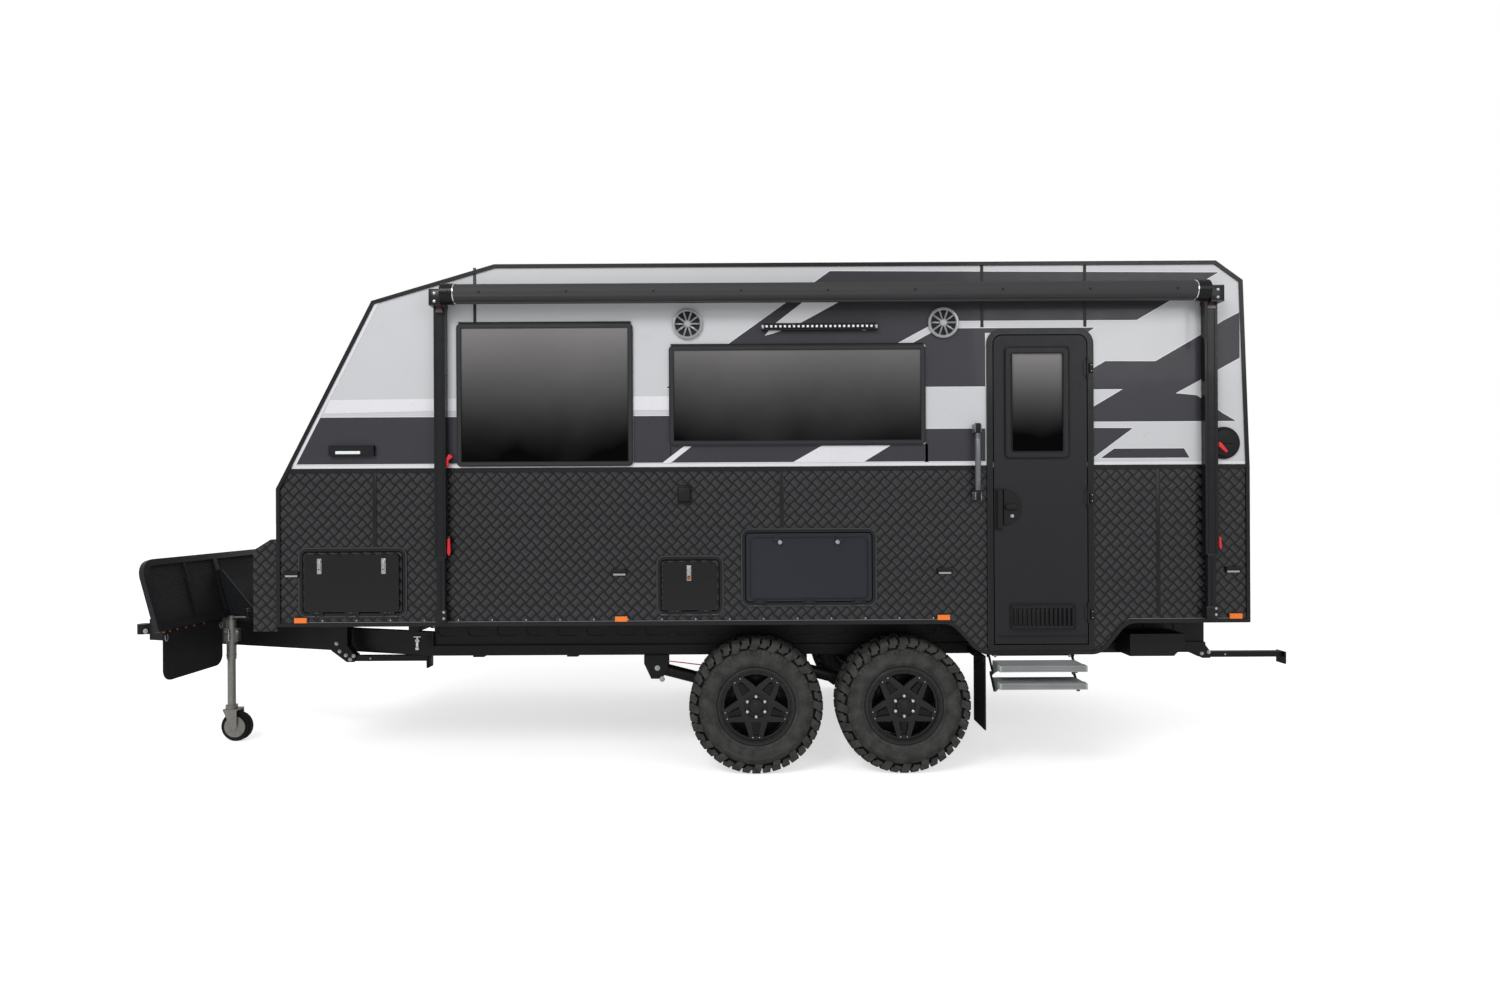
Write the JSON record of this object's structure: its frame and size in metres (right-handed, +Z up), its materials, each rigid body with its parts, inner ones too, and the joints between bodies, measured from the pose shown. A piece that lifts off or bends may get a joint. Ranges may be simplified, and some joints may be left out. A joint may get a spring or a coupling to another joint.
{
  "type": "twin-axle off-road caravan",
  "caption": "Off-road caravan with a hollow angular body, checkerplate lower walls, opening door and hatches, folding step and legs, sprung twin axles and a drawbar on its jockey wheel.",
  "frame": {"origin": "centre of the blind socket in the coupling at the nose of the drawbar, 0.70 m above the ground", "axes": "+X rearwards along the caravan, +Y to the off side (the side without the entry door), +Z up"},
  "size_m": [7.94, 2.639, 3.228],
  "materials": {
    "silver_panel": "satin",
    "dark_checker": "satin",
    "black_trim": "satin",
    "door_panel": "satin",
    "window_frame": "gloss",
    "tinted_glass": "gloss",
    "chassis_black": "satin",
    "cast_coupling": "matte",
    "guard_black": "satin",
    "guard_screen": "matte",
    "rubber": "matte",
    "tyre": "matte",
    "alloy_black": "gloss",
    "awning_fabric": "matte",
    "arm_black": "satin",
    "lamp_clear": "gloss",
    "lamp_amber": "gloss",
    "lamp_red": "gloss",
    "zinc": "satin",
    "step_alloy": "satin",
    "liner": "satin",
    "white_plastic": "satin",
    "tank_grey": "matte"
  },
  "bodies": {
    "caravan": {"upper_walls": "silver_panel", "lower_walls": "dark_checker", "front_wall": "dark_checker", "front_slope": "silver_panel", "roof": "silver_panel", "rear_wall": "silver_panel", "floor": "chassis_black", "edge_trim": "black_trim", "window_frames": "window_frame", "window_glass": "tinted_glass", "door_frames": "black_trim", "locker_liners": "liner", "front_boot": "dark_checker", "main_frame": "chassis_black", "drawbar": "chassis_black", "coupling": "cast_coupling", "guard_frame": "guard_black", "guard_mesh": "guard_screen", "rubber_flaps": "rubber", "trailing_arms": "chassis_black", "springs_dampers": "rubber", "underbody_tanks": "tank_grey", "underbody_brackets": "chassis_black", "jockey_sleeve": "zinc", "awning_roller": "awning_fabric", "awning_arms": "arm_black", "wall_fittings": "black_trim", "clear_lamps": "lamp_clear", "amber_lamps": "lamp_amber", "tail_lamps": "lamp_red", "roof_equipment": "white_plastic"},
    "wheel_front_near": {"tyre_front_near": "tyre", "rim_front_near": "alloy_black"},
    "wheel_front_far": {"tyre_front_far": "tyre", "rim_front_far": "alloy_black"},
    "wheel_rear_near": {"tyre_rear_near": "tyre", "rim_rear_near": "alloy_black"},
    "wheel_rear_far": {"tyre_rear_far": "tyre", "rim_rear_far": "alloy_black"},
    "door": {"entry_door": "door_panel", "door_glass": "tinted_glass"},
    "tunnel_hatch_near": {"tunnel_hatch_near": "dark_checker"},
    "tunnel_hatch_far": {"tunnel_hatch_far": "dark_checker"},
    "small_hatch": {"small_hatch": "dark_checker"},
    "table_hatch": {"table_hatch": "dark_checker"},
    "boot_lid": {"boot_lid": "dark_checker"},
    "vent_lid": {"vent_lid": "tinted_glass"},
    "leg_front_near": {"leg_front_near": "chassis_black"},
    "leg_front_far": {"leg_front_far": "chassis_black"},
    "leg_rear_near": {"leg_rear_near": "chassis_black"},
    "leg_rear_far": {"leg_rear_far": "chassis_black"},
    "jockey_tube": {"jockey_tube": "zinc"},
    "jockey_fork": {"jockey_fork": "zinc"},
    "jockey_wheel": {"jockey_wheel": "rubber"},
    "step_links_upper": {"step_links_upper": "chassis_black"},
    "step_tread_upper": {"step_tread_upper": "step_alloy"},
    "step_links_lower": {"step_links_lower": "chassis_black"},
    "step_tread_lower": {"step_tread_lower": "step_alloy"}
  },
  "joints": [
    {"name": "wheel_front_near_spin", "type": "hinge", "parent": "caravan", "child": "wheel_front_near", "pos_m": [4.483, -1.06, -0.2986], "axis": [0, 1, 0], "continuous": true},
    {"name": "wheel_front_far_spin", "type": "hinge", "parent": "caravan", "child": "wheel_front_far", "pos_m": [4.483, 1.06, -0.2986], "axis": [0, 1, 0], "continuous": true},
    {"name": "wheel_rear_near_spin", "type": "hinge", "parent": "caravan", "child": "wheel_rear_near", "pos_m": [5.365, -1.06, -0.2986], "axis": [0, 1, 0], "continuous": true},
    {"name": "wheel_rear_far_spin", "type": "hinge", "parent": "caravan", "child": "wheel_rear_far", "pos_m": [5.365, 1.06, -0.2986], "axis": [0, 1, 0], "continuous": true},
    {"name": "door_swing", "type": "hinge", "parent": "caravan", "child": "door", "pos_m": [6.441, -1.239, 0.94], "axis": [0, 0, 1], "range_deg": [0, 120]},
    {"name": "tunnel_hatch_near_drop", "type": "hinge", "parent": "caravan", "child": "tunnel_hatch_near", "pos_m": [2.107, -1.233, 0.28], "axis": [1, 0, 0], "range_deg": [0, 110]},
    {"name": "tunnel_hatch_far_drop", "type": "hinge", "parent": "caravan", "child": "tunnel_hatch_far", "pos_m": [2.107, 1.233, 0.28], "axis": [-1, 0, 0], "range_deg": [0, 110]},
    {"name": "small_hatch_drop", "type": "hinge", "parent": "caravan", "child": "small_hatch", "pos_m": [4.097, -1.233, 0.281], "axis": [1, 0, 0], "range_deg": [0, 110]},
    {"name": "table_hatch_drop", "type": "hinge", "parent": "caravan", "child": "table_hatch", "pos_m": [4.7985, -1.233, 0.331], "axis": [1, 0, 0], "range_deg": [0, 90]},
    {"name": "boot_lid_lift", "type": "hinge", "parent": "caravan", "child": "boot_lid", "pos_m": [1.51, 0, 0.647], "axis": [0, 1, 0], "range_deg": [0, 100]},
    {"name": "vent_lid_lift", "type": "hinge", "parent": "caravan", "child": "vent_lid", "pos_m": [3.313, 0, 2.3533], "axis": [0, -1, 0], "range_deg": [0, 60]},
    {"name": "leg_front_near_drop", "type": "hinge", "parent": "caravan", "child": "leg_front_near", "pos_m": [1.875, -0.725, -0.078], "axis": [0, 1, 0], "range_deg": [0, 90]},
    {"name": "leg_front_far_drop", "type": "hinge", "parent": "caravan", "child": "leg_front_far", "pos_m": [1.875, 0.725, -0.078], "axis": [0, 1, 0], "range_deg": [0, 90]},
    {"name": "leg_rear_near_drop", "type": "hinge", "parent": "caravan", "child": "leg_rear_near", "pos_m": [7.395, -0.725, -0.078], "axis": [0, 1, 0], "range_deg": [0, 90]},
    {"name": "leg_rear_far_drop", "type": "hinge", "parent": "caravan", "child": "leg_rear_far", "pos_m": [7.395, 0.725, -0.078], "axis": [0, 1, 0], "range_deg": [0, 90]},
    {"name": "jockey_wind", "type": "slide", "parent": "caravan", "child": "jockey_tube", "axis": [0, 0, 1], "range_m": [-0.03, 0.12]},
    {"name": "jockey_swivel", "type": "hinge", "parent": "jockey_tube", "child": "jockey_fork", "pos_m": [0.884, -0.4, -0.47], "axis": [0, 0, 1], "continuous": true},
    {"name": "jockey_wheel_spin", "type": "hinge", "parent": "jockey_fork", "child": "jockey_wheel", "pos_m": [0.922, -0.4, -0.6], "axis": [0, 1, 0], "continuous": true},
    {"name": "step_swing", "type": "hinge", "parent": "caravan", "child": "step_links_upper", "pos_m": [6.12, -1.165, 0], "axis": [1, 0, 0], "range_deg": [0, 84]},
    {"name": "step_tread_upper_level", "type": "hinge", "parent": "step_links_upper", "child": "step_tread_upper", "pos_m": [6.12, -1.2386, -0.08175], "axis": [1, 0, 0], "range_deg": [-84, 0]},
    {"name": "step_lower_swing", "type": "hinge", "parent": "step_tread_upper", "child": "step_links_lower", "pos_m": [6.12, -1.1986, -0.09975], "axis": [1, 0, 0], "range_deg": [0, 84]},
    {"name": "step_tread_lower_level", "type": "hinge", "parent": "step_links_lower", "child": "step_tread_lower", "pos_m": [6.12, -1.27221, -0.18149], "axis": [1, 0, 0], "range_deg": [-84, 0]}
  ],
  "couplings": [
    {"joint": "step_tread_upper_level", "follows": "step_swing", "ratio": -1},
    {"joint": "step_lower_swing", "follows": "step_swing", "ratio": 1},
    {"joint": "step_tread_lower_level", "follows": "step_swing", "ratio": -1}
  ]
}
